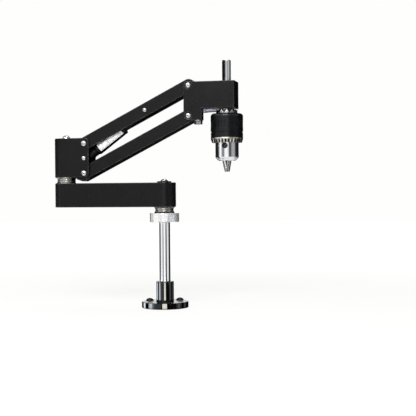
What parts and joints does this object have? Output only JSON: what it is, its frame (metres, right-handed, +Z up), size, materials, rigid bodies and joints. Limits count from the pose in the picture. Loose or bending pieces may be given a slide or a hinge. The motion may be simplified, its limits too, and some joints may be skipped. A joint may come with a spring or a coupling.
{
  "type": "drill tapping stand",
  "caption": "Bench tapping arm: round flange and post, swivelling arm, gas-strut parallel links and a level head with a geared drill chuck on a plain drive shank.",
  "frame": {"origin": "middle of the base flange's underside, on the post's axis", "axes": "+Z up along the post; +X from the post towards the chuck as pictured; -Y towards the viewer"},
  "size_m": [0.2678, 0.064, 0.3359],
  "materials": {
    "black_chromed_steel": "bright black chrome plating",
    "chromed_steel": "hard chrome, polished",
    "satin_aluminium": "fine turned, clear anodised",
    "black_aluminium": "satin black anodised",
    "bearing_steel": "ground",
    "bearing_bronze": "sintered bronze, oiled",
    "zinc_plated_steel": "bright zinc plated",
    "black_steel": "black oxide",
    "strut_barrel_paint": "pale gloss lacquer",
    "black_polymer": "moulded, fine grain",
    "cast_zinc": "die cast, bead blasted",
    "ground_tool_steel": "ground and lightly oiled"
  },
  "bodies": {
    "base": {"base_flange": "black_chromed_steel", "post": "chromed_steel", "hub_grub_screw": "black_steel", "height_collar": "satin_aluminium", "collar_grub_screw": "black_steel", "post_seat_ring": "black_aluminium", "post_bearing_lower_race": "bearing_steel", "post_bearing_cage": "bearing_bronze", "post_bearing_needles": "bearing_steel", "post_washer": "black_steel", "post_screw": "zinc_plated_steel"},
    "lower_arm": {"lower_arm": "black_aluminium", "post_bushes": "bearing_bronze", "post_bearing_upper_race": "bearing_steel", "elbow_shaft": "chromed_steel", "elbow_bearing_lower_race": "bearing_steel", "elbow_bearing_cage": "bearing_bronze", "elbow_bearing_needles": "bearing_steel", "elbow_washer": "black_steel", "elbow_screw": "zinc_plated_steel"},
    "rear_bracket": {"rear_bracket": "black_aluminium", "elbow_bushes": "bearing_bronze", "elbow_bearing_upper_race": "bearing_steel", "rear_pivot_pins": "chromed_steel", "rear_pivot_screws": "zinc_plated_steel", "strut_lower_pin": "chromed_steel", "strut_lower_screws": "zinc_plated_steel"},
    "upper_link": {"upper_link": "black_aluminium", "upper_link_bushes": "bearing_bronze", "strut_upper_pin": "chromed_steel", "strut_upper_screws": "zinc_plated_steel"},
    "lower_link": {"lower_link": "black_aluminium", "lower_link_bushes": "bearing_bronze"},
    "strut_barrel": {"strut_barrel": "strut_barrel_paint", "strut_gland": "black_polymer", "strut_end_cap": "black_polymer", "strut_upper_eye": "black_steel"},
    "strut_rod": {"strut_rod": "black_steel", "strut_piston": "bearing_steel", "strut_lower_eye": "black_steel"},
    "head": {"head_block": "black_aluminium", "head_pivot_pins": "chromed_steel", "head_pivot_screws": "zinc_plated_steel", "spindle_outer_races": "bearing_steel", "spindle_balls": "bearing_steel", "levelling_bolt": "zinc_plated_steel", "levelling_washer": "zinc_plated_steel"},
    "lock_lever": {"lock_lever": "cast_zinc", "lock_stud": "zinc_plated_steel"},
    "spindle": {"spindle": "chromed_steel", "spindle_inner_races": "bearing_steel", "spindle_circlip": "black_steel", "spindle_nut": "zinc_plated_steel", "chuck_body": "ground_tool_steel"},
    "chuck_sleeve": {"chuck_sleeve": "black_polymer", "chuck_gear_ring": "ground_tool_steel", "chuck_split_nut": "bearing_steel"},
    "chuck_jaw_1": {"chuck_jaw_1": "ground_tool_steel"},
    "chuck_jaw_2": {"chuck_jaw_2": "ground_tool_steel"},
    "chuck_jaw_3": {"chuck_jaw_3": "ground_tool_steel"}
  },
  "joints": [
    {"name": "post_swivel", "type": "hinge", "parent": "base", "child": "lower_arm", "pos_m": [0, 0, 0.13], "axis": [0, 0, 1], "continuous": true},
    {"name": "elbow_swivel", "type": "hinge", "parent": "lower_arm", "child": "rear_bracket", "pos_m": [-0.1415, 0, 0.17154], "axis": [0, 0, 1], "continuous": true},
    {"name": "lift", "type": "hinge", "parent": "rear_bracket", "child": "upper_link", "pos_m": [-0.1107, 0, 0.22658], "axis": [0, -1, 0], "range_deg": [-24, 16], "stiffness_Nm_per_rad": 1, "springref_deg": 80.21},
    {"name": "lower_link_swing", "type": "hinge", "parent": "rear_bracket", "child": "lower_link", "pos_m": [-0.1107, 0, 0.18558], "axis": [0, -1, 0], "range_deg": [-25, 17]},
    {"name": "head_level", "type": "hinge", "parent": "upper_link", "child": "head", "pos_m": [0.0381, 0, 0.3024], "axis": [0, -1, 0], "range_deg": [-17, 25]},
    {"name": "strut_swing", "type": "hinge", "parent": "upper_link", "child": "strut_barrel", "pos_m": [-0.02383, 0, 0.27084], "axis": [0, -1, 0], "range_deg": [-2, 3]},
    {"name": "strut_stroke", "type": "slide", "parent": "strut_barrel", "child": "strut_rod", "axis": [-0.8017, 0, -0.5977], "range_m": [-0.0075, 0.005]},
    {"name": "lock_lever_turn", "type": "hinge", "parent": "head", "child": "lock_lever", "pos_m": [0.0609, -0.012, 0.2706], "axis": [0, 0, 1], "range_deg": [-80, 0]},
    {"name": "spindle_spin", "type": "hinge", "parent": "head", "child": "spindle", "pos_m": [0.0883, 0, 0.2706], "axis": [0, 0, 1], "continuous": true},
    {"name": "chuck_sleeve_turn", "type": "hinge", "parent": "spindle", "child": "chuck_sleeve", "pos_m": [0.0883, 0, 0.2641], "axis": [0, 0, -1], "range_deg": [0, 6120]},
    {"name": "jaw_1_slide", "type": "slide", "parent": "spindle", "child": "chuck_jaw_1", "axis": [0.2022, -0.1167, 0.9724], "range_m": [0, 0.0271]},
    {"name": "jaw_2_slide", "type": "slide", "parent": "spindle", "child": "chuck_jaw_2", "axis": [0, 0.2334, 0.9724], "range_m": [0, 0.0271]},
    {"name": "jaw_3_slide", "type": "slide", "parent": "spindle", "child": "chuck_jaw_3", "axis": [-0.2022, -0.1167, 0.9724], "range_m": [0, 0.0271]}
  ],
  "couplings": [
    {"joint": "lower_link_swing", "follows": "lift", "ratio": 1},
    {"joint": "head_level", "follows": "lift", "ratio": -1},
    {"joint": "strut_swing", "follows": "lift", "ratio": -0.103},
    {"joint": "strut_stroke", "follows": "lift", "m_per_rad": 0.0169},
    {"joint": "jaw_1_slide", "follows": "chuck_sleeve_turn", "m_per_rad": 0.00025266},
    {"joint": "jaw_2_slide", "follows": "chuck_sleeve_turn", "m_per_rad": 0.00025266},
    {"joint": "jaw_3_slide", "follows": "chuck_sleeve_turn", "m_per_rad": 0.00025266}
  ]
}
